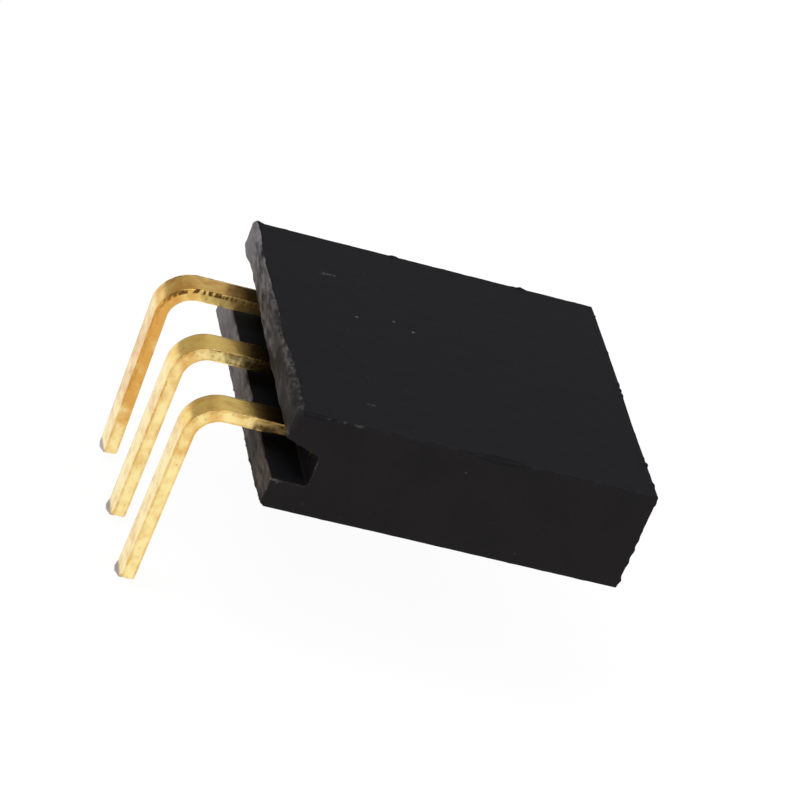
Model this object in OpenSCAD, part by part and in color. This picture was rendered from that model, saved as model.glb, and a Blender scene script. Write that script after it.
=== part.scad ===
// Right-angle socket strip for square header pins: one moulded housing and a row of
// blanked tuning-fork contacts, whose tails bend down through a circuit board.
//
// Frame, in millimetres: X runs along the row, +Y points from the housing towards the
// tails, and Z = 0 is the board's surface. The origin is the middle of the row of tails.
// The mating face looks towards -Y.

/* [Row] */
// Number of contacts in the row
ways = 3; // [1:1:10]
// Distance from one contact to the next
pitch = 2.54; // [2.5:0.02:3]
// Housing past the outer half pitch, at each end
end_margin = 0.25; // [0.1:0.05:0.6]

/* [Housing] */
// Depth from the rear face to the mating face
housing_depth = 8.5; // [8:0.1:12]
// Height from the board face to the top face
housing_height = 2.5; // [2.3:0.05:3.2]
// Radius on the long outer edges
edge_round = 0.1; // [0.04:0.02:0.2]

/* [Rear channel] */
// Depth of the channel in the rear face
channel_depth = 0.86; // [0.5:0.02:1.2]
// Thickness of the wall under the channel
lower_wall = 0.72; // [0.5:0.02:0.9]
// Room above the contacts at the channel's floor
channel_headroom = 0.08; // [0.02:0.01:0.15]
// How far the channel's roof rises from its floor to its mouth
channel_flare = 0.3; // [0:0.02:0.4]

/* [Sockets] */
// Side of the square passage for a mating pin
passage = 0.9; // [0.8:0.02:1.1]
// Side of the square mouth in the mating face
mouth = 1.6; // [1.3:0.05:1.9]
// Depth of the tapered lead-in behind the mouth
lead_in = 0.5; // [0.3:0.05:0.8]
// Wall between the mating face and the spring slot
front_wall = 0.9; // [0.85:0.05:1.4]
// Width of the slot in which the springs move
spring_room = 1.7; // [1.65:0.01:1.8]

/* [Contacts] */
// Thickness of the strip that the contacts are blanked from
stock = 0.3; // [0.2:0.02:0.4]
// Height of the contacts' middle plane above the board
contact_height = 1.27; // [1.2:0.01:1.4]
// Width of the tail
tail_width = 0.65; // [0.5:0.05:0.7]
// From the rear face to the middle of the tails
tail_setback = 1.7; // [1.4:0.05:3]
// Length of the tail below the board's surface
tail_drop = 3.45; // [2:0.05:5]
// Inner radius of the bend
bend_radius = 0.55; // [0.3:0.05:0.7]
// Chamfer round the tail's tip
tip_chamfer = 0.06; // [0.04:0.01:0.09]

/* [Contact base] */
// Width of the base that is pressed into the housing
base_width = 1.9; // [1.85:0.01:2]
// Length of the base
base_length = 1.6; // [1.3:0.1:2]
// Distance of the base behind the channel's floor
base_inset = 0.1; // [0.05:0.05:0.3]
// Height of the barbs on the base's edges
barb_height = 0.04; // [0.02:0.01:0.08]
// Length of each barb
barb_length = 0.35; // [0.2:0.05:0.5]
// Play over and under the base and the springs
slip = 0.02; // [0.01:0.01:0.05]

/* [Contact springs] */
// Gap between the springs where they leave the base
root_gap = 0.72; // [0.68:0.01:0.76]
// Width of each spring where it leaves the base
spring_root = 0.42; // [0.34:0.01:0.44]
// Gap between the springs where they grip a pin
grip_gap = 0.34; // [0.2:0.01:0.5]
// Width of each spring where it grips
spring_waist = 0.3; // [0.24:0.01:0.36]
// Length of the flared tips, from the grip to the end
tip_length = 0.9; // [0.6:0.05:1.2]
// Radius of the flare on the side that meets the pin
grip_radius = 1.8; // [1.5:0.1:2.4]
// Radius of the flare on the outer side
back_radius = 2.6; // [2.5:0.1:4]
// Room between the tips and the front wall
tip_room = 0.1; // [0.05:0.05:0.3]

/* [Hidden] */
$fn = 48;
plastic = "#26262a";
gold = "#d9ab4a";
eps = 0.05;     // overlap of a cutter past the face that it opens
barbs = 2;      // barbs on each edge of a base

housing_length = ways * pitch + 2 * end_margin;
leg_top = contact_height + stock / 2;
channel_roof = leg_top + channel_headroom;

// Distances along the insertion axis, from the rear face inwards
base_start = channel_depth + base_inset;
base_end = base_start + base_length;
slot_end = housing_depth - front_wall;
spring_end = slot_end - tip_room;
grip_at = spring_end - tip_length;
seat_width = base_width + 2 * barb_height;
crotch_radius = root_gap / 2;
bend_mid_radius = bend_radius + stock / 2;

function contact_x(i) = (i - (ways + 1) / 2) * pitch;

// Makes a drawing in (x, distance from the rear face) into a plate of height h, whose
// middle plane lies at the contacts' height
module plate(h)
    translate([0, -tail_setback, contact_height - h / 2])
        mirror([0, 1, 0])
            linear_extrude(h) children();

// Makes a drawing in (distance from the rear face, z) into a bar along the row
module bar(length)
    translate([-length / 2, -tail_setback, 0])
        rotate([90, 0, 90])
            linear_extrude(length) mirror([1, 0]) children();

// ---- Housing ------------------------------------------------------------

module rounded_section() {
    r = edge_round;
    translate([r, 0]) square([housing_depth - 2 * r, housing_height]);
    translate([0, r]) square([housing_depth, housing_height - 2 * r]);
    for (s = [r, housing_depth - r], z = [r, housing_height - r])
        translate([s, z]) circle(r);
}

module channel_section() {
    rise = channel_flare / channel_depth;
    polygon([
        [-eps, lower_wall],
        [channel_depth, lower_wall],
        [channel_depth, channel_roof],
        [-eps, channel_roof + rise * (channel_depth + eps)]
    ]);
}

// The press-fit seat of the base, and the wider room that the springs move in
module contact_slot() {
    plate(stock + 2 * slip) {
        translate([-seat_width / 2, channel_depth - eps])
            square([seat_width, base_end - channel_depth + eps]);
        translate([-spring_room / 2, base_end - eps])
            square([spring_room, slot_end - base_end + eps]);
    }
}

module pin_passage() {
    start = base_end + crotch_radius;
    plate(passage)
        translate([-passage / 2, start])
            square([passage, housing_depth - start + eps]);
}

// One taper of the lead-in, drawn across the passage. Crossing two of them, one drawn
// in width and one in height, makes the square funnel.
module lead_in_section() {
    slope = (mouth - passage) / 2 / lead_in;
    inner = passage / 2;
    outer = mouth / 2 + slope * eps;
    polygon([
        [-inner, housing_depth - lead_in],
        [inner, housing_depth - lead_in],
        [outer, housing_depth + eps],
        [-outer, housing_depth + eps]
    ]);
}

module lead_in_funnel()
    intersection() {
        plate(2 * mouth) lead_in_section();
        translate([0, 0, contact_height])
            rotate([0, 90, 0])
                translate([0, 0, -contact_height])
                    plate(2 * mouth) lead_in_section();
    }

module housing() {
    color(plastic)
        difference() {
            bar(housing_length) difference() {
                rounded_section();
                channel_section();
            }
            for (i = [1:ways])
                translate([contact_x(i), 0, 0]) {
                    contact_slot();
                    pin_passage();
                    lead_in_funnel();
                }
        }
}

// ---- Contact ------------------------------------------------------------

module barb(at)
    polygon([
        [base_width / 2 - eps, at],
        [base_width / 2 + barb_height, at],
        [base_width / 2, at + barb_length],
        [base_width / 2 - eps, at + barb_length]
    ]);

// One spring: a straight taper from the base to the grip, and then a tip that curls
// away from the pin between two arcs
module spring() {
    root = root_gap / 2;
    grip = grip_gap / 2;
    back = grip + spring_waist;
    polygon([
        [root, base_end - eps],
        [root + spring_root, base_end - eps],
        [back, grip_at],
        [grip, grip_at]
    ]);
    intersection() {
        translate([0, grip_at]) square([back + back_radius, tip_length]);
        difference() {
            translate([grip + grip_radius, grip_at]) circle(grip_radius);
            translate([back + back_radius, grip_at]) circle(back_radius);
        }
    }
}

module crotch()
    difference() {
        translate([-crotch_radius - eps, base_end - eps])
            square([2 * (crotch_radius + eps), crotch_radius + eps]);
        translate([0, base_end + crotch_radius]) circle(crotch_radius);
    }

module fork() {
    barb_pitch = base_length / barbs;
    translate([-base_width / 2, base_start]) square([base_width, base_length]);
    crotch();
    for (side = [0, 1])
        mirror([side, 0]) {
            spring();
            for (k = [0:barbs - 1])
                barb(base_start + barb_pitch * (k + 0.5) - barb_length / 2);
        }
}

// The straight leg from the base to the start of the bend
module leg() {
    bend_start = -tail_setback + bend_mid_radius;
    translate([-tail_width / 2, bend_start])
        square([tail_width, base_start - bend_start + eps]);
}

// A quarter turn from the leg's direction down to the tail's
module bend()
    translate([-tail_width / 2, -bend_mid_radius, contact_height - bend_mid_radius])
        rotate([90, 0, 90])
            linear_extrude(tail_width)
                intersection() {
                    square(bend_radius + stock);
                    difference() {
                        circle(bend_radius + stock);
                        circle(bend_radius);
                    }
                }

// The tail seen square on to a side that is width wide, chamfered at the tip
module tail_outline(width) {
    top = contact_height - bend_mid_radius;
    polygon([
        [-width / 2, top],
        [width / 2, top],
        [width / 2, tip_chamfer - tail_drop],
        [width / 2 - tip_chamfer, -tail_drop],
        [tip_chamfer - width / 2, -tail_drop],
        [-width / 2, tip_chamfer - tail_drop]
    ]);
}

module tail()
    intersection() {
        rotate([90, 0, 0])
            linear_extrude(stock, center = true) tail_outline(tail_width);
        rotate([90, 0, 90])
            linear_extrude(tail_width, center = true) tail_outline(stock);
    }

module contact(i) {
    color(gold)
        translate([contact_x(i), 0, 0]) {
            plate(stock) {
                fork();
                leg();
            }
            bend();
            tail();
        }
}

housing();
for (i = [1:ways])
    contact(i);
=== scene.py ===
"""A short right-angle socket strip, dressed for close views: a sawn black moulding with
rubbed rear rims whose pale grey is partly painted reflection, and three blanked and
gold-plated contacts bent down behind it, with painted highlights and shade on them.

All lengths are in metres in the part's own frame: X along the row, +Y towards the tails
and Z = 0 on the circuit board. "Depth" is measured from the housing's rear face inwards.
"""

import math

import bpy
import numpy as np
from mathutils import Matrix, Vector, noise
from mathutils.geometry import delaunay_2d_cdt


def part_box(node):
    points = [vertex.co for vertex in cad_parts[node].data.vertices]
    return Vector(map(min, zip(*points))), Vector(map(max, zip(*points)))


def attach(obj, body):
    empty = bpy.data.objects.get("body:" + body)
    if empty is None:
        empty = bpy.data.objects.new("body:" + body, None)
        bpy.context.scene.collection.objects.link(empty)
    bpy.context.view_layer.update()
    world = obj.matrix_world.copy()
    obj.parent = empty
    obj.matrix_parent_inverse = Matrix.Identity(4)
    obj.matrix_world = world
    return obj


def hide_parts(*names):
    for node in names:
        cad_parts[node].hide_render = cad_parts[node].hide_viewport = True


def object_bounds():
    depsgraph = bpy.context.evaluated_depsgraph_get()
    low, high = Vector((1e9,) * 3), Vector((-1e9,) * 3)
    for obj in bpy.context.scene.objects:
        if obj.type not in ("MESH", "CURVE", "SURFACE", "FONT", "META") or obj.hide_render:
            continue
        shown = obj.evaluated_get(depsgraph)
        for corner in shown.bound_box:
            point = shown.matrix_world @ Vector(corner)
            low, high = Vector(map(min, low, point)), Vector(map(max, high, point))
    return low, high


bl_info = {
    "name": "Right-angle socket strip",
    "version": (1, 0, 0),
    "blender": (4, 5, 0),
    "location": "View3D > Sidebar > Socket Strip",
    "description": "Makes the housing, contacts and studio of a right-angle socket strip",
    "category": "Object",
}

MM = 0.001
BODY = "root"

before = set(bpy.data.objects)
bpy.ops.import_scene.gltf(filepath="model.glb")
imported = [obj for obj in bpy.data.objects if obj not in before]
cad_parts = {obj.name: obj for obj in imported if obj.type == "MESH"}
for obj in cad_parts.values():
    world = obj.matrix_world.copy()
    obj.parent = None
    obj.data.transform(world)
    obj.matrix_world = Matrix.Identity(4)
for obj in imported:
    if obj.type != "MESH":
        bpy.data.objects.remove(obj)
CAD_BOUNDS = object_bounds()
HOUSING_LOW, HOUSING_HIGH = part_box("housing")
CONTACTS = sorted(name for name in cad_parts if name.startswith("contact_"))
CONTACT_LOW, CONTACT_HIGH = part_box(CONTACTS[0])
# The strip that a contact is made of: its tail is centred on y = 0, its leg lies flat
THICKNESS = 2 * CONTACT_HIGH.y
LEG_MIDDLE = CONTACT_HIGH.z - THICKNESS / 2


# ---- Settings ----


def length(name, description, default):
    """A property that holds a length, shown in the scene's own unit."""
    return bpy.props.FloatProperty(
        name=name, description=description, default=default, unit="LENGTH", precision=5
    )


def colour(name, description, default):
    """A property that holds a linear colour."""
    return bpy.props.FloatVectorProperty(
        name=name, description=description, default=default, subtype="COLOR", min=0, max=1
    )


class HousingSettings(bpy.types.PropertyGroup):
    """Sizes and colours of the moulding that the frame's boxes don't give."""

    channel_depth: length("Channel depth", "Depth of the rear channel", 0.86 * MM)
    channel_roof: length("Channel roof", "Height of the channel's roof at its floor", 1.5 * MM)
    roof_mouth: length("Roof mouth", "Height of the channel's roof at its mouth", 1.8 * MM)
    lower_wall: length("Lower wall", "Thickness of the wall under the channel", 0.72 * MM)
    edge_round: length("Edge round", "Radius of the long front edges", 0.03 * MM)
    passage: length("Passage", "Side of the square pin passage", 0.9 * MM)
    mouth: length("Mouth", "Side of the square mouth", 1.6 * MM)
    lead_in: length("Lead-in", "Depth of the tapered lead-in", 0.5 * MM)
    spring_room: length("Spring room", "Width of the slot for the springs", 1.7 * MM)
    slot_end: length("Slot end", "Depth at which the spring slot ends", 7.6 * MM)
    slip: length("Slip", "Play over and under the contacts", 0.02 * MM)
    plastic: colour("Plastic", "Colour of the moulded faces", (0.0068, 0.0066, 0.0078))
    sawn: colour("Sawn", "Colour of the sawn ends", (0.009, 0.008, 0.0085))
    # The rims' pale grey is partly rubbed plastic and partly painted reflection
    scuffed_and_sheen: colour("Scuffed", "Colour of the scuffed rear rims", (0.135, 0.125, 0.132))
    # Also the colour of the painted highlight along the rear rims' top edge
    burr: colour("Burr", "Colour of the whitened burrs and scratches", (0.3, 0.29, 0.28))


class ContactSettings(bpy.types.PropertyGroup):
    """Sizes and colours of the contacts that the frame's boxes don't give."""

    tail_width: length("Tail width", "Width of the tail", 0.65 * MM)
    bend_radius: length("Bend radius", "Inner radius of the bend", 0.55 * MM)
    base_start: length("Base start", "Depth at which the base starts", 0.84 * MM)
    base_length: length("Base length", "Length of the pressed-in base", 1.72 * MM)
    base_width: length("Base width", "Width of the pressed-in base", 1.9 * MM)
    barb_height: length("Barb height", "Height of the barbs on the base's edges", 0.04 * MM)
    barb_length: length("Barb length", "Length of each barb", 0.35 * MM)
    root_gap: length("Root gap", "Gap between the springs at the base", 0.72 * MM)
    spring_root: length("Spring root", "Width of a spring at the base", 0.42 * MM)
    grip_gap: length("Grip gap", "Gap between the springs at the grip", 0.34 * MM)
    spring_waist: length("Spring waist", "Width of a spring at the grip", 0.3 * MM)
    tip_length: length("Tip length", "Length of the flared tips", 0.9 * MM)
    grip_radius: length("Grip radius", "Radius of the flare towards the pin", 1.8 * MM)
    back_radius: length("Back radius", "Radius of the flare's back", 2.6 * MM)
    tip_round: length("Tip round", "Rounding of the tail's cut tip", 0.15 * MM)
    tip_slant: bpy.props.FloatProperty(
        name="Tip slant",
        description="How far the cut at the tip leans, per width",
        default=0.18,
        subtype="FACTOR",
    )
    edge_bevel: length("Edge bevel", "Rounding of the blanked edges", 0.045 * MM)
    tear: length("Tear", "Depth of the tearing on the sheared edges", 0.008 * MM)
    # The paler gold of the tails and sheared sides is partly a painted highlight, where they
    # mirror the white floor
    pale_gold_highlight: colour("Pale gold", "Colour of the plating on the tails", (1.0, 0.83, 0.38))
    gold: colour("Gold", "Colour of the plating on the legs", (0.98, 0.69, 0.19))
    deep_gold: colour("Deep gold", "Colour where the plating is thick", (0.74, 0.39, 0.09))
    # Also the colour of the painted shade at the legs' roots
    pit_and_shade: colour("Pit", "Colour in the torn places of the sheared edges", (0.16, 0.07, 0.015))
    bare: colour("Bare", "Colour of the bare metal at the cut tips", (0.18, 0.14, 0.18))


class StudioSettings(bpy.types.PropertyGroup):
    """The plain studio round the part."""

    floor_reach: length("Floor reach", "Half the side of the floor", 0.9)
    floor_colour: colour("Floor", "Colour of the floor", (0.96, 0.96, 0.96))
    overhead: colour("Overhead", "Light of the sky overhead", (0.57, 0.57, 0.57))
    dark_side: colour("Dark side", "Light of the sky's dark side", (0.44, 0.42, 0.39))
    horizon: colour("Horizon", "Light of the sky at the horizon", (1.0, 1.0, 1.0))


# ---- Node trees ----

# Sockets of the Mix node by number, because those for colours share their names
MIX_FACTOR = 0
MIX_FIRST = 6
MIX_SECOND = 7
MIX_RESULT = 2


def arithmetic(operation, reflected=False):
    """A method that joins a wire and another value by one Math node."""

    def method(self, other):
        ends = (other, self) if reflected else (self, other)
        return self.net.node("ShaderNodeMath", {"operation": operation}, dict(enumerate(ends)))

    return method


class Wire:
    """A node's output that can be used in arithmetic."""

    def __init__(self, net, socket):
        self.net = net
        self.socket = socket

    def math(self, operation, *others):
        """Any other operation of the Math node."""
        inputs = dict(enumerate((self, *others)))
        return self.net.node("ShaderNodeMath", {"operation": operation}, inputs)

    __add__ = __radd__ = arithmetic("ADD")
    __sub__ = arithmetic("SUBTRACT")
    __rsub__ = arithmetic("SUBTRACT", reflected=True)
    __mul__ = __rmul__ = arithmetic("MULTIPLY")
    __truediv__ = arithmetic("DIVIDE")
    __rtruediv__ = arithmetic("DIVIDE", reflected=True)


class Net:
    """A node tree that nodes are added to by one method."""

    def __init__(self, tree):
        self.tree = tree
        tree.nodes.clear()

    @classmethod
    def of(cls, owner):
        """The empty tree of a material or a world."""
        owner.use_nodes = True
        return cls(owner.node_tree)

    def node(self, kind, settings=None, inputs=None, output=0):
        """Adds a node: its settings first, then the values or wires of its sockets."""
        node = self.tree.nodes.new(kind)
        for name, value in (settings or {}).items():
            setattr(node, name, value)
        for key, value in (inputs or {}).items():
            socket = node.inputs[key]
            if isinstance(value, Wire):
                self.tree.links.new(value.socket, socket)
            else:
                socket.default_value = value
        return Wire(self, node.outputs[output]) if node.outputs else node

    def axes(self, vector):
        """The three components of a vector."""
        first = self.node("ShaderNodeSeparateXYZ", inputs={0: vector})
        return [Wire(self, socket) for socket in first.socket.node.outputs]

    def step(self, value, low, high):
        """0 below low, 1 above high and smooth between, or the other way round."""
        inputs = {"Value": value, "From Min": low, "From Max": high}
        return self.node("ShaderNodeMapRange", {"interpolation_type": "SMOOTHSTEP"}, inputs)

    def noise(self, place, period, detail=2.0, roughness=0.5, stretch=(1, 1, 1)):
        """Noise about 0.5, with blobs about one period wide, in the unit of place."""
        scale = tuple(1 / (period * s) for s in stretch)
        scaled = self.vector("MULTIPLY", {0: place, 1: scale})
        inputs = {"Vector": scaled, "Scale": 1.0, "Detail": detail, "Roughness": roughness}
        return self.node("ShaderNodeTexNoise", inputs=inputs)

    def vector(self, operation, inputs, output="Vector"):
        """A Vector Math node."""
        return self.node("ShaderNodeVectorMath", {"operation": operation}, inputs, output)

    def in_mm(self, vector):
        """A place in millimetres."""
        return self.vector("MULTIPLY", {0: vector, 1: (1 / MM, 1 / MM, 1 / MM)})

    def mix(self, factor, first, second):
        """A colour between two others."""
        inputs = {
            MIX_FACTOR: factor,
            MIX_FIRST: as_colour(first),
            MIX_SECOND: as_colour(second),
        }
        return self.node("ShaderNodeMix", {"data_type": "RGBA"}, inputs, MIX_RESULT)


def as_colour(value):
    """A colour with its alpha, or the wire that carries one."""
    return value if isinstance(value, Wire) else (*value, 1.0)


def new_material(finish, settings, **constants):
    """A material whose shader gets constants as they are, and the rest from its finish."""
    material = bpy.data.materials.new(finish.__name__)
    net = Net.of(material)
    place = net.in_mm(net.node("ShaderNodeTexCoord", output="Object"))
    inputs = {key.replace("_", " "): value for key, value in constants.items()}
    inputs.update(finish(net, place, settings))
    shader = net.node("ShaderNodeBsdfPrincipled", inputs=inputs)
    net.node("ShaderNodeOutputMaterial", inputs={"Surface": shader})
    return material


def bump(net, height, distance):
    """A normal tilted by a height between 0 and 1 that stands for a real distance."""
    inputs = {"Height": height, "Distance": distance, "Strength": 1.0}
    return net.node("ShaderNodeBump", inputs=inputs)


# ---- Finishes ----

# Each finish gets the place in millimetres and gives the inputs that vary over the surface

# The flat contact's own places, kept through the bend: across, along and through the strip
BLANK_ATTRIBUTE = "blank"
# Marks on the top face: middle (x, y), half-sizes along x and y in millimetres, strength
TOP_MARKS = (
    (2.4, -3.35, 0.035, 0.21, 0.35),
    (2.33, -3.2, 0.03, 0.08, 0.25),
    (0.73, -3.79, 0.05, 0.05, 0.4),
    (0.93, -4.71, 0.06, 0.04, 0.4),
    (0.66, -5.15, 0.05, 0.05, 0.45),
    (-3.04, -3.55, 0.03, 0.12, 0.2),
)
# How strongly the plastics mirror: moulded, and where the skin is gone
MOULDED_SPECULAR = 0.04
ROUGHENED_SPECULAR = 0.06
# The way in which the rear rims are rubbed: their marks are wider along the row
RUB_STRETCH = (2.5, 1, 1)


def toned(tint, factor):
    """A colour made darker or lighter."""
    return tuple(value * factor for value in tint)


def top_marks(net, place):
    """Small pale scratches at fixed places on the top face."""
    x, y, z = net.axes(place)
    marks = 0.0
    for middle_x, middle_y, half_x, half_y, strength in TOP_MARKS:
        from_x = (x - middle_x).math("ABSOLUTE")
        from_y = (y - middle_y).math("ABSOLUTE")
        near_x = net.step(from_x, half_x, half_x * 0.3)
        near_y = net.step(from_y, half_y, half_y * 0.5)
        marks = marks + near_x * near_y * strength
    top = net.step(z, HOUSING_HIGH.z / MM - 0.1, HOUSING_HIGH.z / MM - 0.01)
    broken = net.step(net.noise(place, 0.05, detail=3.0, roughness=0.7), 0.42, 0.62)
    return marks * top * broken


def near_end_burr(net, place):
    """A broken whitish line along the sawn end's top edge, plainer in one stretch."""
    x, y, z = net.axes(place)
    end = HOUSING_LOW.x / MM
    top = HOUSING_HIGH.z / MM
    edge = net.step(x, end + 0.06, end + 0.025)
    edge = edge * net.step(z, top - 0.06, top - 0.025)
    stretch = net.step(y, -2.35, -2.55) * net.step(y, -3.7, -3.1)
    broken = net.step(net.noise(place, 0.22, detail=4.0, roughness=0.8), 0.46, 0.62)
    return edge * broken * (stretch * 0.1 + 0.012)


def moulded_plastic(net, place, settings):
    """Fine matte grain, a little uneven in tone, with a few pale specks and scratches."""
    grain = net.noise(place, 0.03, detail=3.0, roughness=0.6)
    cloud = net.noise(place, 1.6, detail=3.0)
    speck = net.step(net.noise(place, 0.09, detail=1.0), 0.79, 0.84)
    marks = speck * 0.12 + top_marks(net, place)
    pale = marks.math("MAXIMUM", near_end_burr(net, place))
    tone = net.mix(cloud, toned(settings.plastic, 0.85), toned(settings.plastic, 1.15))
    return {
        "Base Color": net.mix(pale, tone, settings.burr),
        "Roughness": 0.46 + cloud * 0.08,
        "Normal": bump(net, grain, 0.0016 * MM),
    }


def sawn_plastic(net, place, settings):
    """The cut ends: duller, with faint drag marks along the saw's way and pale crumbs."""
    grain = net.noise(place, 0.045, detail=3.0, roughness=0.65)
    drag = net.noise(place, 0.05, detail=2.0, stretch=(1, 18, 1))
    cloud = net.noise(place, 0.9, detail=3.0)
    crumb = net.step(net.noise(place, 0.12, detail=2.0), 0.74, 0.82)
    pale = (crumb * 0.16).math("MAXIMUM", near_end_burr(net, place))
    tone = net.mix(cloud, toned(settings.sawn, 0.75), toned(settings.sawn, 1.25))
    return {
        "Base Color": net.mix(pale, tone, settings.burr),
        "Roughness": 0.5 + cloud * 0.12,
        "Normal": bump(net, grain * 0.7 + drag * 0.3, 0.003 * MM),
    }


def scuffed_and_sheen_plastic(net, place, settings):
    """The rear rims: grey in patches that are partly rubbed plastic and partly painted
    reflection, more so at the far end, with a painted highlight along the top edge, and dark
    where whole.
    """
    rub = net.noise(place, 0.16, detail=2.0, stretch=(3.0, 1, 1))
    broad = net.noise(place, 0.5, detail=2.0, stretch=RUB_STRETCH)
    grain = net.noise(place, 0.06, detail=1.0, stretch=RUB_STRETCH)
    flecked = net.noise(place, 0.07, detail=1.0, stretch=RUB_STRETCH)
    highlight_breakup = net.noise(place, 0.25, detail=5.0, roughness=0.8)
    x, _, z = net.axes(place)
    far = net.step(x, -4.0, 4.5)
    top = net.step(z, 2.1, 2.4)
    low = net.step(z, 0.9, 0.7)
    # Pale patches: partly rubbed plastic and partly painted reflection, more towards the far end
    # and on the lower rim
    wear_and_sheen = rub + broad * 0.6 + far * (0.45 - top * 0.12) + low * 0.16
    worn_and_sheen = net.step(wear_and_sheen, 0.86, 1.28)
    warm = tuple(value * share for value, share in zip(settings.scuffed_and_sheen, (0.5, 0.4, 0.33)))
    pale = net.mix(far, warm, settings.scuffed_and_sheen)
    tone = net.mix(worn_and_sheen, toned(settings.scuffed_and_sheen, 0.09), pale)
    # A painted highlight along the rims' top edge, broken up by noise
    painted_edge_highlight = net.step(z, 2.36, 2.47) * net.step(highlight_breakup, 0.44, 0.68)
    painted_edge_highlight = painted_edge_highlight * net.step(broad, 0.42, 0.6) * 0.24
    flecks_and_highlight = (net.step(flecked, 0.62, 0.74) * worn_and_sheen * 0.3).math("MAXIMUM", painted_edge_highlight)
    return {
        "Base Color": net.mix(flecks_and_highlight, tone, settings.burr),
        "Roughness": 0.45 + rub * 0.2,
        "Normal": bump(net, grain * 0.35 + rub * 0.65, 0.006 * MM),
    }


def gold_plating(net, place, settings):
    """Mottled gold, torn brown along one sheared edge and bare where the tip was cut, with a
    painted highlight on the tails and sides and painted shade at the legs' roots.
    """
    outer_face = CONTACT_HIGH.z / MM
    half_thickness = THICKNESS / 2 / MM
    tip = CONTACT_LOW.z / MM
    x, y, z = net.axes(place)
    stored = {"attribute_name": BLANK_ATTRIBUTE}
    blank = net.in_mm(net.node("ShaderNodeAttribute", stored, output="Vector"))
    across, along, depth = net.axes(blank)
    mottle = net.noise(place, 0.28, detail=3.0, roughness=0.45)
    fine = net.noise(place, 0.06, detail=2.0)
    drawn = net.noise(blank, 0.1, detail=2.0, stretch=(1, 9, 1))
    pits = net.step(net.noise(place, 0.07, detail=1.0), 0.7, 0.8)

    # Where on the contact: its parts, its sheared sides and the edges between its faces
    tail = net.step(z + mottle * 0.8, 1.5, 0.6)
    leg = net.step(along, 0.5, -0.3)
    bend = net.step(along, -0.7, -0.2) * net.step(along, 1.3, 0.8)
    far = net.step(x, 1.0, 2.0) * net.step(z, -2.9, -1.6)
    side = net.step(across.math("ABSOLUTE"), 0.27, 0.3)
    rim = net.step(depth, outer_face - 0.12, outer_face - 0.08)
    from_middle = (depth - LEG_MIDDLE / MM).math("ABSOLUTE")
    crease = net.step(from_middle, half_thickness - 0.07, half_thickness - 0.03)

    # The plating: pale on tails and sides, partly as a painted highlight, deep in the mottling
    # and along the creases
    lines = (drawn - 0.5) * (1 - side) * (leg * 0.5 + 0.15)
    pale = tail.math("MAXIMUM", side * (0.8 - far * 0.4))
    tone = net.mix(pale, settings.gold, settings.pale_gold_highlight)
    # Deeper on the far contact; its leg sides are kept paler, a painted light where the housing
    # blocks what they mirror
    far_tint_with_painted_light = far * (side * 0.22 + 0.2) * (1 - leg * side * 0.85)
    deep = net.step(mottle + far_tint_with_painted_light + bend * side * 0.12 + lines, 0.36, 0.95)
    tone = net.mix(deep, tone, settings.deep_gold)
    streak = net.step(net.noise(place, 0.2, detail=2.0), 0.38, 0.62)
    creased = side * crease * (streak * 0.6 + 0.4) * (1 - far) * 0.6
    tone = net.mix(creased, tone, settings.deep_gold)

    # The dark places: torn edge, pits, painted shade at the legs' roots by the housing, and the
    # bare cut tip
    dots = net.step(net.noise(place, 0.1, detail=1.0, stretch=(1, 1, 2)), 0.44, 0.58)
    torn = side * rim * dots * (leg * 0.8 + 0.15) * (0.25 + far * 0.75)
    # Painted shade on the legs next to the housing, where they mirror its dark rims, weaker on
    # the far contact
    painted_root_shade = net.step(y, -1.15, -1.6) * (0.75 - far * 0.6)
    dark = torn.math("MAXIMUM", pits * 0.4).math("MAXIMUM", painted_root_shade)
    tone = net.mix(dark, tone, settings.pit_and_shade)
    burr = net.step(z, tip + 0.2, tip + 0.09)
    burr = burr * net.step(depth, outer_face - 0.05, outer_face + 0.01)
    height = mottle * 0.75 + fine * 0.15 + drawn * 0.1 - torn * 0.1
    return {
        "Base Color": net.mix(burr * 0.85, tone, settings.bare),
        "Roughness": 0.2 + fine * 0.06 + torn * 0.2 + side * leg * (far * 0.09 + 0.03),
        "Normal": bump(net, height, 0.006 * MM),
    }


# ---- Shapes ----


def new_piece(name, vertices, faces, finishes=(), materials=()):
    """A mesh object at the origin, with its place in its vertices and a finish per face."""
    mesh = bpy.data.meshes.new(name)
    mesh.from_pydata(vertices, [], faces)
    for material in materials:
        mesh.materials.append(material)
    if finishes:
        mesh.polygons.foreach_set("material_index", finishes)
    mesh.update()
    piece = bpy.data.objects.new(name, mesh)
    bpy.context.collection.objects.link(piece)
    return piece


def bake_modifiers(piece):
    """Turns an object's modifiers into plain geometry."""
    graph = bpy.context.evaluated_depsgraph_get()
    mesh = bpy.data.meshes.new_from_object(piece.evaluated_get(graph), depsgraph=graph)
    if not mesh.polygons:
        raise RuntimeError(f"{piece.name} has lost its faces")
    piece.modifiers.clear()
    piece.data = mesh
    mesh.name = piece.name


def hand_over(piece, slot, *nodes):
    """Puts a finished piece on the body that it rides on and hides the CAD parts that it stands
    for.
    """
    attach(piece, BODY)
    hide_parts(*nodes)


def smooth_but_sharp(piece, degrees):
    """Smooth shading, except across edges that turn by more than an angle."""
    piece.data.shade_smooth()
    piece.data.set_sharp_from_angle(angle=math.radians(degrees))


# How far apart in the noise two patterns lie whose seeds differ by one
SEED_STRIDE = (7.1, 3.7, 5.3)


def wave(place, size, period, seed):
    """Smooth noise between about -size and size; the period is in millimetres."""
    shift = Vector([stride * seed for stride in SEED_STRIDE])
    return size * noise.noise(Vector(place) / (period * MM) + shift)


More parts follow.
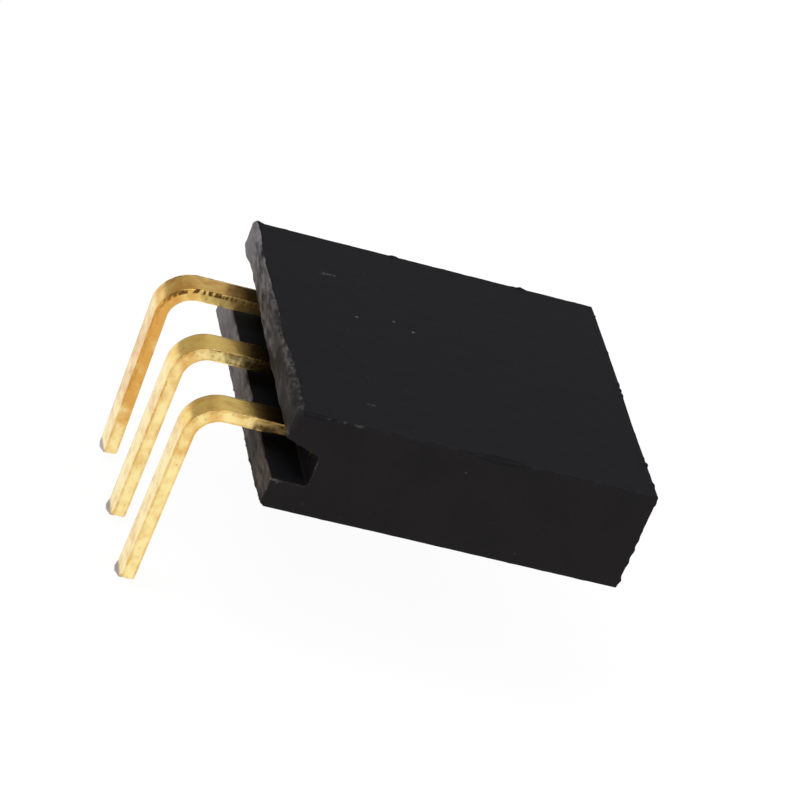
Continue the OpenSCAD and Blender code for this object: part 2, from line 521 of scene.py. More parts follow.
def peaks(place, level, size, period, seed):
    """Only what rises above a level of the same noise."""
    return size * max(0.0, wave(place, 1.0, period, seed) - level)


def evenly(low, high, count):
    """Numbers from low to high in count equal steps."""
    return [low + (high - low) * k / count for k in range(count + 1)]


def spaced(low, high, spacing):
    """Numbers from low to high, at most a spacing apart."""
    return evenly(low, high, max(1, math.ceil(abs(high - low) / spacing)))


# ---- Housing ----

# Steps along each rounded corner of the section
ARC_STEPS = 5
# Steps along each straight side of the section, from the lowest rear edge up and round
SIDE_STEPS = (20, 20, 13, 22, 20, 96, 40, 62)
# Number of the outline's first point at each corner of the section
STARTS = np.cumsum([0] + [ARC_STEPS + steps for steps in SIDE_STEPS]).tolist()
# Outline points on the sharp outer edges that carry small burrs
BURRED = {start + step for start in (STARTS[0], *STARTS[6:8]) for step in range(ARC_STEPS + 1)}
# Outline points on the two rear rims, rounded edges included
LOWER_RIM = range(ARC_STEPS // 2, STARTS[1] + ARC_STEPS)
UPPER_RIM = range(STARTS[4], STARTS[5] + ARC_STEPS)
SCUFFED = {*LOWER_RIM, *UPPER_RIM}
# Numbers of the finishes in the order of the piece's materials
MOULDED = 0
SAWN = 1
RUBBED_AND_SHEEN = 2


def knots(*pairs):
    """A curve through (place along the row, value) pairs given in millimetres."""
    places = np.array([place for place, _ in pairs]) * MM
    values = np.array([value for _, value in pairs]) * MM
    return lambda x: float(np.interp(x, places, values))


# How the rear rims have worn: set-back of the faces, and radii of their edges
UPPER_SETBACK = knots(
    (-4.1, 0), (-2, 0.01), (0.5, 0.02), (1.2, 0.04), (3.2, 0.06), (3.6, 0.03), (4.1, 0.05)
)
LIP_ROUND = knots(
    (-4.1, 0.04), (0, 0.06), (1, 0.13), (2.4, 0.19), (3.2, 0.23), (3.6, 0.1), (4.1, 0.15)
)
RIM_ROUND = knots(
    (-4.1, 0.12), (-3.3, 0.19), (-2.1, 0.17), (-0.9, 0.07), (0.1, 0.1),
    (1.2, 0.06), (1.9, 0.04), (3, 0.03), (3.6, 0.12), (4.1, 0.08),
)
# The rounding of the lowest rear edge, and how far the front's top edge bulges
FOOT_ROUND = knots((-4.1, 0.13), (-3.7, 0.09), (-3.2, 0.03), (4.1, 0.03))
FRONT_BULGE = knots((-4.1, 0), (-1, 0), (1, 0.045), (3.8, 0.06), (4.1, 0.05))
# Radii of the lower lip and of the channel's two inner corners
LOWER_LIP_ROUND = 0.04 * MM
CHANNEL_FLOOR_ROUND = 0.08 * MM
CHANNEL_ROOF_ROUND = 0.11 * MM
# Waves of the skin: size or share, period in millimetres and seed
UPPER_RIM_WAVE = (0.015 * MM, 0.45, 1)
LOWER_RIM_WAVE = (0.012 * MM, 0.5, 3)
LOWER_LIP_WAVE = (0.7, 0.3, 5)
RIM_WAVE = (0.3, 0.22, 6)
LIP_WAVE = (0.25, 0.3, 7)
SKIN_WAVE = (0.003 * MM, 0.3, 9)
SCUFF_WAVES = ((0.016 * MM, 0.17, 2), (0.005 * MM, 0.08, 4))
SAWN_WAVE = (0.004 * MM, 0.35, 10)
# Nicks in the upper rim's edge and burrs on the sharp ones: the level of the noise that
# makes none, then as above
NICKS = (0.0, 0.04 * MM, 0.28, 14)
BURRS = (0.25, 0.04 * MM, 0.12, 11)


def section_corners(x, sizes):
    """The section's corners at one place along the row: depth, height and radius of each."""
    depth = HOUSING_HIGH.y - HOUSING_LOW.y
    height = HOUSING_HIGH.z
    place = (x, 0, 0)
    upper = UPPER_SETBACK(x) + wave(place, *UPPER_RIM_WAVE)
    lower = wave(place, *LOWER_RIM_WAVE)
    lower_lip = LOWER_LIP_ROUND * (1 + wave(place, *LOWER_LIP_WAVE))
    rim = RIM_ROUND(x) * (1 + wave(place, *RIM_WAVE)) + peaks(place, *NICKS)
    lip = LIP_ROUND(x) * (1 + wave(place, *LIP_WAVE))
    return [
        (lower, 0, FOOT_ROUND(x)),
        (lower, sizes.lower_wall, lower_lip),
        (sizes.channel_depth, sizes.lower_wall, CHANNEL_FLOOR_ROUND),
        (sizes.channel_depth, sizes.channel_roof, CHANNEL_ROOF_ROUND),
        (upper, sizes.roof_mouth, lip),
        (upper, height, rim),
        (depth + FRONT_BULGE(x), height, sizes.edge_round),
        (depth, 0, sizes.edge_round),
    ]


def rounded_corner(before, corner, after, radius):
    """Points of the arc that rounds one corner between its two neighbours."""
    back = (before - corner).normalized()
    on = (after - corner).normalized()
    half_angle = back.angle(on) / 2
    reach = radius / math.tan(half_angle)
    centre = corner + (back + on).normalized() * (radius / math.sin(half_angle))
    start = (corner + back * reach - centre).normalized()
    end = (corner + on * reach - centre).normalized()
    return [
        centre + start.slerp(end, step / ARC_STEPS) * radius for step in range(ARC_STEPS + 1)
    ]


def section(x, sizes):
    """The housing's outline in (depth, height) at one place along the row."""
    corners = section_corners(x, sizes)
    places = [Vector(corner[:2]) for corner in corners]
    count = len(corners)
    arcs = []
    for k, (_, _, radius) in enumerate(corners):
        arcs.append(rounded_corner(places[k - 1], places[k], places[(k + 1) % count], radius))
    outline = []
    for k, steps in enumerate(SIDE_STEPS):
        side_end = arcs[(k + 1) % count][0]
        outline += arcs[k]
        outline += [arcs[k][-1].lerp(side_end, step / steps) for step in range(1, steps)]
    return outline


# Places where the near end's top edge has broken away: y, half the length and depth, and
# the height from which they count, all in millimetres
NEAR_CHIPS = ((-6.4, 0.55, 0.13), (-5.7, 0.3, 0.05), (-2.15, 0.5, 0.09))
CHIPPED_FROM = 2.2
# Flakes left standing on the sharp outer edges: x, y, z, height and half the width
FLAKES = (
    (0.62, -10.2, 2.5, 0.02, 0.13),
    (0.15, -10.2, 2.5, 0.024, 0.11),
    (-2.76, -10.2, 2.5, 0.028, 0.1),
    (-3.56, -10.2, 2.5, 0.028, 0.13),
    (-4.06, -10.2, 1.31, 0.02, 0.12),
    (-4.06, -10.2, 1.0, 0.032, 0.12),
    (-4.06, -10.2, 0.69, 0.032, 0.14),
    (-4.06, -10.2, 0.2, 0.05, 0.12),
    (4.06, -5.2, 2.5, 0.04, 0.12),
    (4.06, -8.4, 2.5, 0.05, 0.12),
    (4.06, -1.85, 2.5, 0.05, 0.15),
)
# Distances of the sections from a sawn end, and their spacing between, in millimetres
END_STATIONS = (0.0, 0.012, 0.028, 0.05, 0.08, 0.12, 0.17)
STATION_SPACING = 0.05
# Edges of the sawn ends in millimetres: radius, its waver, the waver's period and its seed
USUAL_EDGE = (0.02, 0.014, 0.2, 8)
# Lips of the near end that are worn rounder: from which y, between which z, then as above
WORN_EDGES = (
    (-2.7, 0.6, 1.8, 0.028, 0.016, 0.15, 12),
    (-1.95, 2.0, 2.6, 0.08, 0.03, 0.2, 13),
)
# How near to a sawn end the burrs and the rubbed skin of the channel's walls reach
END_BURRS = 0.02 * MM
END_RUB = 0.05 * MM


def end_rounding(place):
    """Radius of a sawn end's edge at one place."""
    x, y, z = (value / MM for value in place)
    edge = USUAL_EDGE
    for from_y, low_z, high_z, *worn_and_sheen in WORN_EDGES:
        if x < 0 and y > from_y and low_z < z < high_z:
            edge = worn_and_sheen
    radius, *waver = edge
    radius += wave(place, *waver)
    if x < 0 and z > CHIPPED_FROM:
        for centre, half, depth in NEAR_CHIPS:
            share = max(0.0, 1 - ((y - centre) / half) ** 2)
            radius = max(radius, depth * share**0.6)
    return radius * MM


def flake(place):
    """How far a flake stands out at one place."""
    heights = [0.0]
    for *centre, height, half in FLAKES:
        away = (Vector(place) / MM - Vector(centre)).length
        heights.append(height * (1 - away / half))
    return max(heights) * MM


def stations(low, high):
    """Places along the row, crowded at both ends."""
    inner_low = low + END_STATIONS[-1] * MM
    inner_high = high - END_STATIONS[-1] * MM
    count = round((inner_high - inner_low) / (STATION_SPACING * MM))
    middle = evenly(inner_low, inner_high, count)[1:-1]
    first = [low + end * MM for end in END_STATIONS]
    last = [high - end * MM for end in reversed(END_STATIONS)]
    return first + middle + last


def inset(place, from_end, rubbed, burred):
    """How far the skin lies inside the plain outline at one place."""
    radius = end_rounding(place)
    depth = 0.0
    if from_end < radius:
        depth = radius - math.sqrt(max(0.0, radius**2 - (radius - from_end) ** 2))
    depth += wave(place, *SKIN_WAVE)
    if rubbed:
        drawn = [value / stretch for value, stretch in zip(place, RUB_STRETCH)]
        depth += sum(wave(drawn, *scuff) for scuff in SCUFF_WAVES)
    if burred or from_end < END_BURRS:
        depth -= peaks(place, *BURRS) + flake(place)
    return depth


def skin_ring(x, from_end, sizes):
    """The housing's worn outline at one place along the row."""
    outline = section(x, sizes)
    ring = []
    for k, point in enumerate(outline):
        tangent = (outline[(k + 1) % len(outline)] - outline[k - 1]).normalized()
        inward = Vector((tangent.y, -tangent.x))
        place = (x, HOUSING_HIGH.y - point.x, point.y)
        moved = point + inward * inset(place, from_end, k in SCUFFED, k in BURRED)
        ring.append(Vector((x, HOUSING_HIGH.y - moved.x, moved.y)))
    return ring


def housing_shell(sizes):
    """Vertices, faces and finish numbers of the housing before its cavities are cut."""
    low = HOUSING_LOW.x
    high = HOUSING_HIGH.x
    places = stations(low, high)
    rings = [skin_ring(x, min(x - low, high - x), sizes) for x in places]
    count = len(rings[0])
    vertices = [vertex for ring in rings for vertex in ring]
    faces = []
    finishes = []
    for row, x in enumerate(places[:-1]):
        for k in range(count):
            a = row * count + k
            b = row * count + (k + 1) % count
            faces.append((a, b, b + count, a + count))
            end_lip = x < low + END_RUB and STARTS[1] <= k <= STARTS[4]
            finishes.append(RUBBED_AND_SHEEN if k in SCUFFED or end_lip else MOULDED)
    for row in (0, len(rings) - 1):
        cap_faces, cap_vertices = sawn_end(rings[row], row * count, len(vertices))
        vertices += cap_vertices
        faces += [face[::-1] for face in cap_faces] if row else cap_faces
        finishes += [SAWN] * len(cap_faces)
    return vertices, faces, finishes


# Spacing of the points inside a sawn end and their least distance from its outline, in
# millimetres, how near points count as one, and the filling that keeps to the inside
CAP_SPACING = 0.09
CAP_MARGIN = 0.6 * CAP_SPACING
CAP_MERGE = 1e-6
CAP_INSIDE = 1


def sawn_end(ring, first, following):
    """Fills a ring with small faces: the faces, and the vertices that they add inside."""
    outline = [Vector((-vertex.y, vertex.z)) / MM for vertex in ring]
    low_y, high_y = min(p.x for p in outline), max(p.x for p in outline)
    low_z, high_z = min(p.y for p in outline), max(p.y for p in outline)
    inside = []
    for i in range(1, int((high_y - low_y) / CAP_SPACING)):
        offset = 0.5 * (i % 2)
        for j in range(1, int((high_z - low_z) / CAP_SPACING)):
            point = Vector((low_y + i * CAP_SPACING, low_z + (j + offset) * CAP_SPACING))
            if min((point - edge).length for edge in outline) > CAP_MARGIN:
                inside.append(point)
    loops = [list(range(len(outline)))]
    filled = delaunay_2d_cdt(outline + inside, [], loops, CAP_INSIDE, CAP_MERGE)
    points, _, triangles, origins, *_ = filled
    index = {}
    added = []
    for k, (point, source) in enumerate(zip(points, origins)):
        if source and source[0] < len(outline):
            index[k] = first + source[0]
            continue
        index[k] = following + len(added)
        place = (ring[0].x, -point.x * MM, point.y * MM)
        added.append(Vector(place) + Vector((wave(place, *SAWN_WAVE), 0, 0)))
    return [tuple(index[k] for k in face) for face in triangles], added


def box_solid(low, high, far_scale):
    """Vertices and faces of a box between two corners, with its -Y end scaled."""
    centre = (Vector(low) + Vector(high)) / 2
    vertices = []
    for y, scale in ((high[1], 1.0), (low[1], far_scale)):
        for x, z in ((low[0], low[2]), (high[0], low[2]), (high[0], high[2]), (low[0], high[2])):
            across = centre.x + (x - centre.x) * scale
            up = centre.z + (z - centre.z) * scale
            vertices.append((across, y, up))
    faces = [(3, 2, 1, 0), (4, 5, 6, 7)]
    faces += [((k + 1) % 4, (k + 1) % 4 + 4, k + 4, k) for k in range(4)]
    return vertices, faces


# How far the cutters reach past the places that they open into
CUT_OVERLAP = 0.05 * MM


def cavity_cutters(sizes, contact):
    """Closed solids that cut each contact's seat, spring slot, pin passage and lead-in."""
    rear = HOUSING_HIGH.y
    half_slot = THICKNESS / 2 + sizes.slip
    half_spring = sizes.spring_room / 2
    half_passage = sizes.passage / 2
    base_end = contact.base_start + contact.base_length
    passage_start = base_end + contact.root_gap / 2
    front = rear - HOUSING_LOW.y
    funnel = front - sizes.lead_in
    past = front + CUT_OVERLAP
    widening = (sizes.mouth / 2 - half_passage) / sizes.lead_in
    half_mouth = sizes.mouth / 2 + widening * CUT_OVERLAP
    cutters = []
    for name in CONTACTS:
        low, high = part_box(name)
        x = (low.x + high.x) / 2
        half_seat = (high.x - low.x) / 2
        # Half-sizes along x and z, start and end in depth, and how much the far end widens
        spans = (
            (half_seat, half_slot, sizes.channel_depth - CUT_OVERLAP, base_end, 1.0),
            (half_spring, half_slot, base_end - CUT_OVERLAP, sizes.slot_end, 1.0),
            (half_passage, half_passage, passage_start, funnel, 1.0),
            (half_passage, half_passage, funnel, past, half_mouth / half_passage),
        )
        for k, (half_x, half_z, start, end, far_scale) in enumerate(spans):
            lowest = (x - half_x, rear - end, LEG_MIDDLE - half_z)
            highest = (x + half_x, rear - start, LEG_MIDDLE + half_z)
            solid = box_solid(lowest, highest, far_scale)
            cutters.append(new_piece(f"cutter_{name}_{k}", *solid))
    return cutters


def cut_away(piece, cutters):
    """Cuts closed solids out of a piece and clears them away."""
    uncut = len(piece.data.polygons)
    hollow = bpy.data.collections.new("cavities")
    for cutter in cutters:
        hollow.objects.link(cutter)
    cut = piece.modifiers.new("cavities", "BOOLEAN")
    cut.operation = "DIFFERENCE"
    cut.operand_type = "COLLECTION"
    cut.collection = hollow
    cut.solver = "EXACT"
    bake_modifiers(piece)
    for cutter in cutters:
        bpy.data.objects.remove(cutter)
    bpy.data.collections.remove(hollow)
    if len(piece.data.polygons) == uncut:
        raise RuntimeError(f"{piece.name} wasn't cut")


class SOCKETSTRIP_OT_housing(bpy.types.Operator):
    """Make the moulded housing with its sawn ends, worn rims and cavities"""

    bl_idname = "socket_strip.housing"
    bl_label = "Housing"

    def execute(self, context):
        sizes = context.scene.strip_housing
        finishes = [
            new_material(moulded_plastic, sizes, Specular_IOR_Level=MOULDED_SPECULAR),
            new_material(sawn_plastic, sizes, Specular_IOR_Level=ROUGHENED_SPECULAR),
            new_material(scuffed_and_sheen_plastic, sizes, Specular_IOR_Level=ROUGHENED_SPECULAR),
        ]
        housing = new_piece("housing_moulding", *housing_shell(sizes), finishes)
        cut_away(housing, cavity_cutters(sizes, context.scene.strip_contacts))
        smooth_but_sharp(housing, degrees=35)
        hand_over(housing, "housing", "housing")
        return {"FINISHED"}


# ---- Contacts ----

# Layers of the side faces, steps across the tail and spacing of its rows
LAYERS = 6
TAIL_COLUMNS = 8
ROW_SPACING = 0.04 * MM
# How each contact was bent and cut a little off true: sideways and rearward shift of the
# tail in millimetres, its lean in radians, and the burr at its tip in millimetres
BENT = {
    "contact_1": (0.042, -0.002, -0.010, 0.05),
    "contact_2": (-0.023, -0.005, 0.001, 0.05),
    "contact_3": (0.068, 0.028, 0.027, 0.012),
}
# Length of the tip over which the burr grows
BURR_REACH = 0.12 * MM
# Barbs on each edge of a base, and the width of their steep side
BARBS = 2
BARB_STEP = 0.004 * MM
# Distances of the last rows from the tail's very end
TIP_ROWS = (0.2 * MM, 0.15 * MM, 0.1 * MM, 0.05 * MM, 0.0)
# Decimals in metres to which columns and points that should meet are rounded
COLUMN_DECIMALS = 9
POINT_DECIMALS = 8
# A distance too small to matter
TINY = 1e-9


def sag(radius, distance):
    """How far an arc has left its tangent after a distance along it."""
    return radius - math.sqrt(radius**2 - distance**2)


def rounding(radius, left):
    """How far a rounded end draws in where a distance is left to its very end."""
    return radius - math.sqrt(max(0.0, radius**2 - max(0.0, radius - left) ** 2))


def strip(columns_at, ys):
    """Rows of (x, y) points at the given places along the contact."""
    return [[(x, y) for x in columns_at(y)] for y in ys]


def tail_columns(sizes):
    """Places across the tail."""
    half = sizes.tail_width / 2
    return evenly(-half, half, TAIL_COLUMNS)


def tail_end(sizes):
    """Where the flat tail ends, so that the bent one reaches its depth below the board."""
    middle_radius = sizes.bend_radius + THICKNESS / 2
    drop = LEG_MIDDLE - middle_radius - CONTACT_LOW.z
    return -middle_radius + drop + middle_radius * math.pi / 2


def tail_patch(sizes, base_y, tip):
    """The leg and the tail, with a rounded and slanting cut at the tip."""
    columns = tail_columns(sizes)
    rows = spaced(base_y, tip - TIP_ROWS[0], ROW_SPACING)[:-1]
    patch = [[(x, y) for x in columns] for y in rows]
    for left in TIP_ROWS:
        narrowed = 1 - rounding(sizes.tip_round, left) / columns[-1]
        slant = sizes.tip_slant * (1 - left / TIP_ROWS[0])
        patch.append([(x * narrowed, tip - left + x * slant) for x in columns])
    return patch


def base_patch(sizes, base_y, shoulder_y, columns):
    """The pressed-in base, with sawtooth barbs on both of its edges."""
    pitch = sizes.base_length / BARBS
    starts = [base_y - pitch * (k + 0.5) + sizes.barb_length / 2 for k in range(BARBS)]
    rows = set(spaced(shoulder_y, base_y, 2 * ROW_SPACING))
    for start in starts:
        rows |= {start + BARB_STEP, start, start - sizes.barb_length}

    def row_at(y):
        into = [(start - y) / sizes.barb_length for start in starts]
        share = max((1 - t for t in into if -1e-6 < t < 1), default=0.0)
        half = sizes.base_width / 2 + sizes.barb_height * share
        return [-half, *columns[1:-1], half]

    return strip(row_at, sorted(rows))


def crotch_patch(root, shoulder_y, columns):
    """The rounded web between the two springs' roots."""

    def reach(x):
        return root - math.sqrt(max(0.0, root**2 - min(abs(x), root) ** 2))

    return [[(x, shoulder_y - reach(x) * t) for x in columns] for t in (0, 0.5, 1)]


def spring_patch(sizes, sign, root_y):
    """One tuning-fork spring: tapered to the grip, then flared to its tip."""
    tip_y = CONTACT_LOW.y
    grip_y = tip_y + sizes.tip_length
    root = sizes.root_gap / 2
    grip = sizes.grip_gap / 2
    root_back = root + sizes.spring_root
    grip_back = grip + sizes.spring_waist

    def columns_at(y):
        if y > grip_y:
            t = (root_y - y) / (root_y - grip_y)
            low = root + (grip - root) * t
            high = root_back + (grip_back - root_back) * t
        else:
            low = grip + sag(sizes.grip_radius, grip_y - y)
            high = grip_back + sag(sizes.back_radius, grip_y - y)
        return [sign * x for x in (low, (low + high) / 2, high)]

    rows = spaced(root_y, grip_y, 3 * ROW_SPACING)
    rows += spaced(grip_y, tip_y, 2 * ROW_SPACING)[1:]
    return strip(columns_at, rows)


def flat_blank(sizes, tip):
    """Patches of (x, y) points that together cover the contact before it is bent."""
    base_y = HOUSING_HIGH.y - sizes.base_start
    shoulder_y = base_y - sizes.base_length
    half_base = sizes.base_width / 2
    root = sizes.root_gap / 2
    back = root + sizes.spring_root
    side = [root, (root + back) / 2, back]
    across = [-half_base, *(-x for x in side), *tail_columns(sizes), *side, half_base]
    columns = sorted({round(x, COLUMN_DECIMALS) for x in across})
    return [
        tail_patch(sizes, base_y, tip),
        base_patch(sizes, base_y, shoulder_y, columns),
        crotch_patch(root, shoulder_y, [x for x in columns if abs(x) <= back + TINY]),
        *(spring_patch(sizes, sign, shoulder_y - root) for sign in (-1, 1)),
    ]


def thicken(patches, low, high, shift):
    """A solid plate from flat patches: its vertices, faces and rims. shift moves both faces."""
    index = {}
    quads = []
    for rows in patches:
        numbered = []
        for row in rows:
            keys = [(round(x, POINT_DECIMALS), round(y, POINT_DECIMALS)) for x, y in row]
            numbered.append([index.setdefault(key, len(index)) for key in keys])
        for lower, upper in zip(numbered, numbered[1:]):
            for k in range(len(lower) - 1):
                corners = dict.fromkeys((lower[k], lower[k + 1], upper[k + 1], upper[k]))
                if len(corners) > 2:
                    quads.append(tuple(corners))
    flat = list(index)
    turned = []
    for quad in quads:
        area = 0.0
        for a, b in zip(quad, quad[1:] + quad[:1]):
            area += flat[a][0] * flat[b][1] - flat[b][0] * flat[a][1]
        turned.append(quad if area > 0 else quad[::-1])
    count = len(flat)
    vertices = []
    for layer in range(LAYERS + 1):
        share = layer / LAYERS
        for x, y in flat:
            inner, outer = shift(x, y)
            vertices.append((x, y, (low + inner) * (1 - share) + (high + outer) * share))
    top = LAYERS * count
    faces = [quad[::-1] for quad in turned] + [tuple(v + top for v in quad) for quad in turned]
    edges = {edge for quad in turned for edge in zip(quad, quad[1:] + quad[:1])}
    rims = []
    for a, b in sorted(edges):
        if (b, a) not in edges:
            rims += [(a, b), (a + top, b + top)]
            for at in range(0, top, count):
                faces.append((a + at, b + at, b + at + count, a + at + count))
    return vertices, faces, rims


def tip_shaping(sizes, tip, burr):
    """Gives how far the inner and the outer face are moved towards +Z near the cut tip."""

    def shift(x, y):
        left = max(0.0, tip + x * sizes.tip_slant - y)
        grown = max(0.0, min(1.0, 1.5 - left / BURR_REACH))
        return rounding(sizes.tip_round, left), burr * MM * grown

    return shift


def weigh_edges(mesh, chosen):
    """Gives the chosen edges, as pairs of vertices, the weight that bevels them."""
    pairs = {frozenset(pair) for pair in chosen}
    weights = [float(frozenset(edge.vertices) in pairs) for edge in mesh.edges]
    attribute = mesh.attributes.new("bevel_weight_edge", "FLOAT", "EDGE")
    attribute.data.foreach_set("value", weights)


CONTACT_INPUTS = (
    "Row Place", "Bend Start", "Middle Radius", "Leg Height",
    "Lean", "Sideways", "Rearward", "Tear", "Seed",
)
# Distance in the tearing's noise between one contact and the next
SEED_SPACING = 0.013


def contact_tree(plating):
    """Geometry nodes that tear a flat blank's sheared edges, bend it and set it in its row."""
    tree = bpy.data.node_groups.new("bend_contact", "GeometryNodeTree")
    tree.interface.new_socket("Geometry", in_out="INPUT", socket_type="NodeSocketGeometry")
    for name in CONTACT_INPUTS:
        tree.interface.new_socket(name, in_out="INPUT", socket_type="NodeSocketFloat")
    tree.interface.new_socket("Geometry", in_out="OUTPUT", socket_type="NodeSocketGeometry")
    net = Net(tree)
    first = net.node("NodeGroupInput")
    given = {socket.name: Wire(net, socket) for socket in first.socket.node.outputs}
    radius = given["Middle Radius"]
    height = given["Leg Height"]
    bend_start = given["Bend Start"]

    # Tear the sides, whose normals lie flat, by noise about 0 of about the tear's size
    normal = net.node("GeometryNodeInputNormal")
    sheared = net.step(net.axes(normal)[2].math("ABSOLUTE"), 0.8, 0.3)
    place = net.node("GeometryNodeInputPosition")
    seed = given["Seed"]
    seeded = net.node("ShaderNodeCombineXYZ", inputs={0: seed, 1: seed, 2: seed})
    moved = net.vector("ADD", {0: place, 1: seeded})
    coarse = net.noise(moved, 0.16 * MM, detail=2.0, stretch=(1, 1.6, 0.6))
    fine = net.noise(moved, 0.05 * MM, detail=1.0)
    depth = (coarse + fine * 0.5 - 0.75) * given["Tear"] * sheared * 3.0
    push = net.vector("SCALE", {0: normal, "Scale": depth})
    stored = {"Geometry": given["Geometry"], "Name": BLANK_ATTRIBUTE, "Value": place}
    kept = net.node(
        "GeometryNodeStoreNamedAttribute",
        {"data_type": "FLOAT_VECTOR", "domain": "POINT"},
        stored,
    )
    torn = net.node("GeometryNodeSetPosition", inputs={"Geometry": kept, "Offset": push})

    # Roll what lies past the start of the bend round its middle radius, then set it straight on
    x, y, z = net.axes(net.node("GeometryNodeInputPosition"))
    along = (y - bend_start).math("MAXIMUM", 0.0)
    angle = (along / radius).math("MINIMUM", given["Lean"] + math.pi / 2)
    straight = along - angle * radius
    outward = radius + (z - height)
    sine = angle.math("SINE")
    cosine = angle.math("COSINE")
    share = (along / (radius * math.pi / 2)).math("MINIMUM", 1.0)
    bent_x = x + given["Row Place"] + given["Sideways"] * share
    bent_y = y.math("MINIMUM", bend_start) + sine * outward + straight * cosine
    bent_z = height - radius + cosine * outward - straight * sine
    bent = net.node(
        "ShaderNodeCombineXYZ",
        inputs={0: bent_x, 1: bent_y + given["Rearward"] * share, 2: bent_z},
    )
    shaped = net.node("GeometryNodeSetPosition", inputs={"Geometry": torn, "Position": bent})
    real = net.node("GeometryNodeRealizeInstances", inputs={0: shaped})
    plated = net.node("GeometryNodeSetMaterial", inputs={"Geometry": real, "Material": plating})
    net.node("NodeGroupOutput", inputs={0: plated})
    return tree


def make_contact(sizes, tree, number, name):
    """Blanks, bevels and bends one contact; its number seeds the tearing."""
    low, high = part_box(name)
    sideways, rearward, lean, burr = BENT.get(name, (0, 0, 0, 0))
    tip = tail_end(sizes)
    vertices, faces, rims = thicken(
        flat_blank(sizes, tip),
        CONTACT_HIGH.z - THICKNESS,
        CONTACT_HIGH.z,
        tip_shaping(sizes, tip, burr),
    )
    piece = new_piece(f"{name}_plated", vertices, faces)
    seen_from = HOUSING_HIGH.y - sizes.base_start + ROW_SPACING
    seen = [rim for rim in rims if min(vertices[v][1] for v in rim) > seen_from]
    weigh_edges(piece.data, seen)
    edges = piece.modifiers.new("edges", "BEVEL")
    edges.width = sizes.edge_bevel
    edges.segments = 3
    edges.limit_method = "WEIGHT"
    middle_radius = sizes.bend_radius + THICKNESS / 2
    values = {
        "Row Place": (low.x + high.x) / 2,
        "Bend Start": -middle_radius,
        "Middle Radius": middle_radius,
        "Leg Height": LEG_MIDDLE,
        "Lean": lean,
        "Sideways": sideways * MM,
        "Rearward": rearward * MM,
        "Tear": sizes.tear,
        "Seed": SEED_SPACING * (number + 1),
    }
    bend = piece.modifiers.new("bend", "NODES")
    bend.node_group = tree
    for socket in tree.interface.items_tree:
        if socket.name in values:
            bend[socket.identifier] = values[socket.name]
    bake_modifiers(piece)
    smooth_but_sharp(piece, degrees=50)
    hand_over(piece, "contact", name)


class SOCKETSTRIP_OT_contacts(bpy.types.Operator):
    """Make the contacts: blank them flat, then bend and place each one"""

    bl_idname = "socket_strip.contacts"
    bl_label = "Contacts"

    def execute(self, context):
        sizes = context.scene.strip_contacts
        tree = contact_tree(new_material(gold_plating, sizes, Metallic=1.0))
        for number, name in enumerate(CONTACTS):
            make_contact(sizes, tree, number, name)
        return {"FINISHED"}


# ---- Studio ----

CAMERA_PLACE = Vector((-81.427, 25.216, 46.306)) * MM
CAMERA_AIM = Vector((-0.821, -4.937, 1.556)) * MM
# Roll in degrees, sensor in millimetres, and the lens's focal length in sensor widths
CAMERA_ROLL = 23.41
SENSOR_WIDTH = 36
FOCAL_RATIO = 5.4408
# Room under the tails for the burrs at their tips
FLOOR_GAP = 0.08 * MM
# Where the sky is dark, which the bends of the contacts mirror, and how it fades in
DARK_SIDE = (0.83, 0.46, 0.31)
DARK_FADE = (0.8, 0.95)
# Heights between which the horizon's light gives way to that overhead
HORIZON_FADE = (0.04, 0.22)
# Share of plain white in what the camera and mirrors see of the floor
FLOOR_GLOW = 0.95
# Softboxes: name, place and side in metres, and share of the light
SOFTBOXES = (
    ("overhead", (-0.05, 0.1, 0.42), 0.3, 0.6),
    ("left", (-0.32, -0.16, 0.25), 0.24, 0.3),
    ("behind", (-0.05, 0.36, 0.2), 0.22, 0.15),
)


def aimed(place, target):
    """The placing of a camera or lamp that looks from one place to another."""
    turn = (target - place).to_track_quat("-Z", "Y").to_matrix().to_4x4()
    return Matrix.Translation(place) @ turn


def add_camera(scene):
    """The camera, a long lens from above and behind the near end."""
    camera = bpy.data.objects.new("camera", bpy.data.cameras.new("camera"))
    camera.data.sensor_width = SENSOR_WIDTH
    camera.data.lens = FOCAL_RATIO * SENSOR_WIDTH
    camera.data.clip_start = 0.005
    camera.data.clip_end = 3.0
    roll = Matrix.Rotation(math.radians(CAMERA_ROLL), 4, "Z")
    camera.matrix_world = aimed(CAMERA_PLACE, CAMERA_AIM) @ roll
    scene.collection.objects.link(camera)
    scene.camera = camera


def add_floor(settings):
    """A pale floor that keeps the shadow and is plain white to the camera and to mirrors."""
    reach = settings.floor_reach
    level = CAD_BOUNDS[0].z - FLOOR_GAP
    sides = ((-reach, -reach), (reach, -reach), (reach, reach), (-reach, reach))
    corners = [(x, y, level) for x, y in sides]
    material = bpy.data.materials.new("floor_white")
    net = Net.of(material)
    rays = net.node("ShaderNodeLightPath").socket.node.outputs
    seen = Wire(net, rays["Is Camera Ray"]) + Wire(net, rays["Is Glossy Ray"])
    seen = seen + Wire(net, rays["Is Transmission Ray"])
    paper = net.node("ShaderNodeBsdfDiffuse", inputs={"Color": (*settings.floor_colour, 1)})
    glow = net.node("ShaderNodeEmission", inputs={"Color": (1, 1, 1, 1), "Strength": 1.0})
    factor = seen.math("MINIMUM", 1.0) * FLOOR_GLOW
    mixed = net.node("ShaderNodeMixShader", inputs={0: factor, 1: paper, 2: glow})
    net.node("ShaderNodeOutputMaterial", inputs={"Surface": mixed})
    floor = new_piece("floor", corners, [(0, 1, 2, 3)], materials=[material])


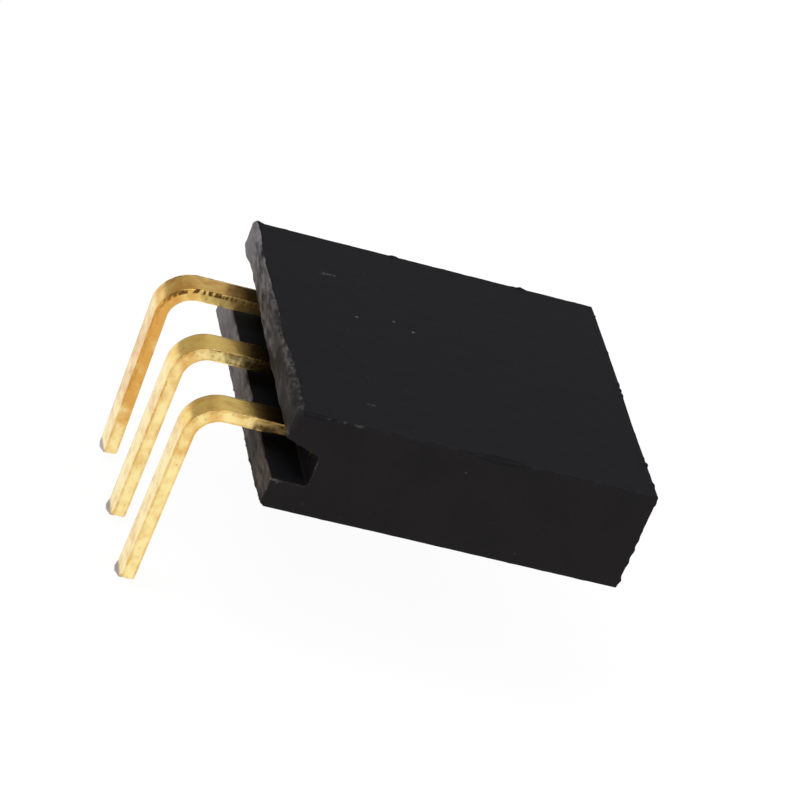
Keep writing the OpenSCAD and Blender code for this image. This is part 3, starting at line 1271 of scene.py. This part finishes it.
def add_sky(scene, settings):
    """A soft sky, bright at the horizon, with one dark side."""
    world = bpy.data.worlds.new("sky")
    net = Net.of(world)
    toward = net.node("ShaderNodeTexCoord", output="Generated")
    up = net.axes(toward)[2]
    facing = net.vector("DOT_PRODUCT", {0: toward, 1: DARK_SIDE}, output="Value")
    shade = net.mix(net.step(up, *HORIZON_FADE), settings.horizon, settings.overhead)
    shade = net.mix(net.step(facing, *DARK_FADE), shade, settings.dark_side)
    light = net.node("ShaderNodeBackground", inputs={"Color": shade, "Strength": 1.0})
    net.node("ShaderNodeOutputWorld", inputs={"Surface": light})
    scene.world = world


def add_softbox(name, place, side, share):
    """A square lamp aimed at the part; share 1 shows a face turned to it in its own colour."""
    lamp = bpy.data.lights.new(name, "AREA")
    lamp.size = side
    lamp.energy = share * math.pi**2 * place.length_squared
    box = bpy.data.objects.new(name, lamp)
    box.matrix_world = aimed(place, Vector())
    bpy.context.collection.objects.link(box)


class SOCKETSTRIP_OT_stage(bpy.types.Operator):
    """Make the camera, the pale floor, the sky and the softboxes"""

    bl_idname = "socket_strip.stage"
    bl_label = "Stage"

    def execute(self, context):
        scene = context.scene
        settings = scene.strip_studio
        scene.view_settings.view_transform = "Standard"
        add_camera(scene)
        add_floor(settings)
        add_sky(scene, settings)
        for name, place, side, share in SOFTBOXES:
            add_softbox(name, Vector(place), side, share)
        return {"FINISHED"}


class SOCKETSTRIP_PT_panel(bpy.types.Panel):
    """Lists the strip's settings and makers in the sidebar"""

    bl_label = "Socket Strip"
    bl_idname = "SOCKETSTRIP_PT_panel"
    bl_space_type = "VIEW_3D"
    bl_region_type = "UI"
    bl_category = "Socket Strip"

    def draw(self, context):
        groups = (
            ("Housing", SOCKETSTRIP_OT_housing, context.scene.strip_housing),
            ("Contacts", SOCKETSTRIP_OT_contacts, context.scene.strip_contacts),
            ("Stage", SOCKETSTRIP_OT_stage, context.scene.strip_studio),
        )
        for title, operator, settings in groups:
            box = self.layout.box()
            box.label(text=title)
            for name in settings.__annotations__:
                box.prop(settings, name)
            box.operator(operator.bl_idname)


SETTINGS = {
    "strip_housing": HousingSettings,
    "strip_contacts": ContactSettings,
    "strip_studio": StudioSettings,
}
CLASSES = (
    *SETTINGS.values(),
    SOCKETSTRIP_OT_stage,
    SOCKETSTRIP_OT_housing,
    SOCKETSTRIP_OT_contacts,
    SOCKETSTRIP_PT_panel,
)


def register():
    """Registers the classes and gives every scene their settings."""
    for cls in CLASSES:
        bpy.utils.register_class(cls)
    for name, group in SETTINGS.items():
        setattr(bpy.types.Scene, name, bpy.props.PointerProperty(type=group))


def unregister():
    """Undoes register."""
    for name in SETTINGS:
        delattr(bpy.types.Scene, name)
    for cls in reversed(CLASSES):
        bpy.utils.unregister_class(cls)


def main():
    """Makes the whole scene."""
    register()
    bpy.ops.socket_strip.stage()
    bpy.ops.socket_strip.housing()
    bpy.ops.socket_strip.contacts()


if __name__ == "__main__":
    main()
